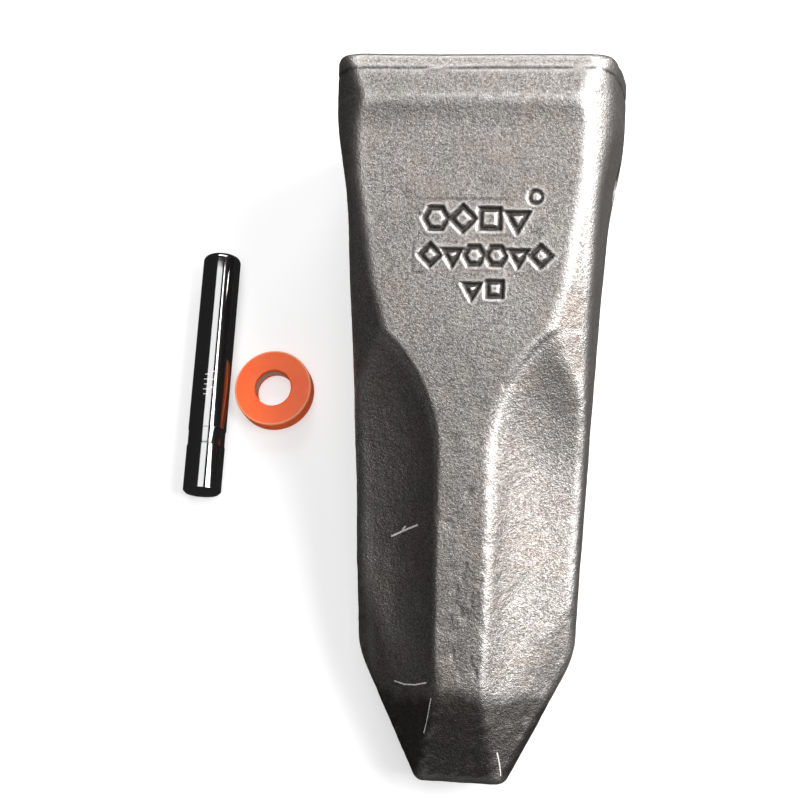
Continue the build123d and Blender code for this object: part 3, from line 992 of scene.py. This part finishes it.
def make_spring():
    """Split ring of flat spring steel, open at SPRING_TURN."""
    section = spring_section()
    start, sweep, steps = SPRING_TURN + SPRING_GAP / 2, 360.0 - SPRING_GAP, 120
    vertices, faces = [], []
    for k in range(steps + 1):
        angle = radians(start + sweep * k / steps)
        for height, radius in section:
            vertices.append((radius * cos(angle) * MM, radius * sin(angle) * MM, height * MM))
    size = len(section)
    for k in range(steps):
        for j in range(size):
            a, b = k * size + j, k * size + (j + 1) % size
            faces.append((a, b, b + size, a + size))
    faces += [tuple(range(size)), tuple(range(steps * size, (steps + 1) * size))[::-1]]
    mesh = bpy.data.meshes.new("split_spring")
    mesh.from_pydata(vertices, [], faces)
    face_outward(mesh)
    mesh.transform(Matrix.Translation(retainer_centre()))
    shade_smooth(mesh, 35)
    spring = new_object("split_spring", mesh)
    spring.data.materials.append(spring_material())
    return spring


def hand_in(piece, body, node):
    """Puts a piece on its body, in place of its CAD node, with its material slot."""
    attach(piece, body)
    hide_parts(node)


hand_in(make_tooth(), "tooth", "tooth_body")
hand_in(make_pin(), "pin", "retaining_pin")
hand_in(make_ring(), "retainer", "retainer_ring")
hand_in(make_spring(), "retainer", "retainer_spring")

# ---------------------------------------------------------------------------
# Floor, light and camera, in metres and watts
# ---------------------------------------------------------------------------
FLOOR_REACH = 30.0
WORLD_LEVEL = 0.04
LIGHTS = (                    # name, place, target, size, power
    ("overhead", (-0.02, 0.0, 1.5), (-0.02, 0.0, 0.0), (0.86, 1.4), 11.5),
    ("right", (1.0, 0.14, 0.78), (0.05, 0.03, 0.05), (1.1, 1.1), 42.0),
    ("rear", (0.1, 1.2, 0.75), (0.05, 0.1, 0.05), (1.0, 0.6), 12.0),
)
CAMERA_LENS, CAMERA_SENSOR = 72.9, 36.0   # millimetres
CAMERA_OFFSET, CAMERA_HEIGHT = (0.079, -0.390), 0.8393   # offset from the rear rim's middle
CAMERA_TILT, CAMERA_LEAN, CAMERA_ROLL = 16.35, 8.14, 1.63   # degrees about X, Y and Z


def make_floor():
    mesh = bpy.data.meshes.new("floor")
    sides = ((-1, -1), (1, -1), (1, 1), (-1, 1))
    corners = [(x * FLOOR_REACH, y * FLOOR_REACH, 0.0) for x, y in sides]
    mesh.from_pydata(corners, [], [(0, 1, 2, 3)])
    floor = new_object("floor", mesh)
    material, _, shader = new_material("pale_floor")
    shader.inputs["Base Color"].default_value = (0.55, 0.55, 0.55, 1.0)
    shader.inputs["Roughness"].default_value = 0.9
    shader.inputs["Emission Color"].default_value = (1.0, 1.0, 1.0, 1.0)
    shader.inputs["Emission Strength"].default_value = 0.5
    mesh.materials.append(material)
    floor.visible_glossy = False


def make_world(level):
    world = bpy.data.worlds.new("studio")
    bpy.context.scene.world = world
    world.use_nodes = True
    background = world.node_tree.nodes["Background"]
    background.inputs["Color"].default_value = (1.0, 0.98, 0.96, 1.0)
    background.inputs["Strength"].default_value = level


def area_light(name, place, target, size, power):
    data = bpy.data.lights.new(name, "AREA")
    data.shape = "RECTANGLE"
    data.size, data.size_y = size
    data.energy = power
    light = new_object(name, data)
    light.location = place
    aim = Vector(target) - Vector(place)
    light.rotation_euler = aim.to_track_quat("-Z", "Y").to_euler()


def make_camera():
    """Camera above the point end, looking back along the tooth and slightly to its left."""
    data = bpy.data.cameras.new("camera")
    camera = new_object("camera", data)
    bpy.context.scene.camera = camera
    data.sensor_width = CAMERA_SENSOR
    data.lens = CAMERA_LENS
    rear = Vector(mounts["adapter_socket"]["pos_m"])
    tilt = Matrix.Rotation(radians(CAMERA_TILT), 4, "X")
    lean = Matrix.Rotation(radians(CAMERA_LEAN), 4, "Y")
    roll = Matrix.Rotation(radians(CAMERA_ROLL), 4, "Z")
    place = (rear.x + CAMERA_OFFSET[0], rear.y + CAMERA_OFFSET[1], CAMERA_HEIGHT)
    camera.matrix_world = Matrix.Translation(place) @ (tilt @ lean @ roll)


make_floor()
make_world(WORLD_LEVEL)
for light in LIGHTS:
    area_light(*light)
make_camera()
bpy.context.scene.view_settings.view_transform = "Standard"
